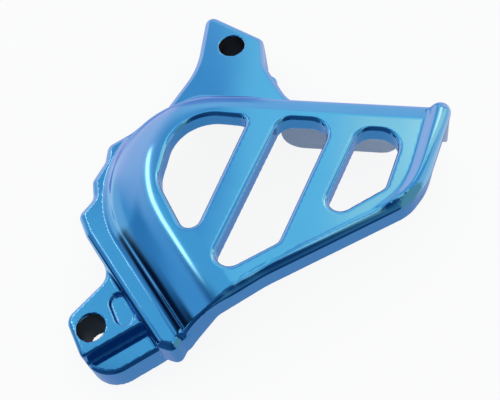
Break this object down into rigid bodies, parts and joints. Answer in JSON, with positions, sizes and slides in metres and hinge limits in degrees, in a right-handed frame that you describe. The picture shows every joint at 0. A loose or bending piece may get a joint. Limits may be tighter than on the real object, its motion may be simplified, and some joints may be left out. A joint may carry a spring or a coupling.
{
  "type": "motorcycle sprocket cover",
  "caption": "Slotted one-piece plated cover that bolts over a motorcycle's front sprocket and chain, with two bolt lugs and a raised sweep round the chain.",
  "frame": {"origin": "lower lug's rear seat, on the plane where both lugs meet the engine, 8 mm from the axis of the lower bolt bore towards the upper one", "axes": "+Z out through the slotted face, +X along the straight upper edge towards the bead, +Y across the cover towards the upper lug"},
  "size_m": [0.141, 0.1659, 0.0382],
  "materials": {
    "plated_metal": "mirror-bright blue plating"
  },
  "bodies": {
    "root": {"sprocket_cover": "plated_metal"}
  },
  "joints": []
}
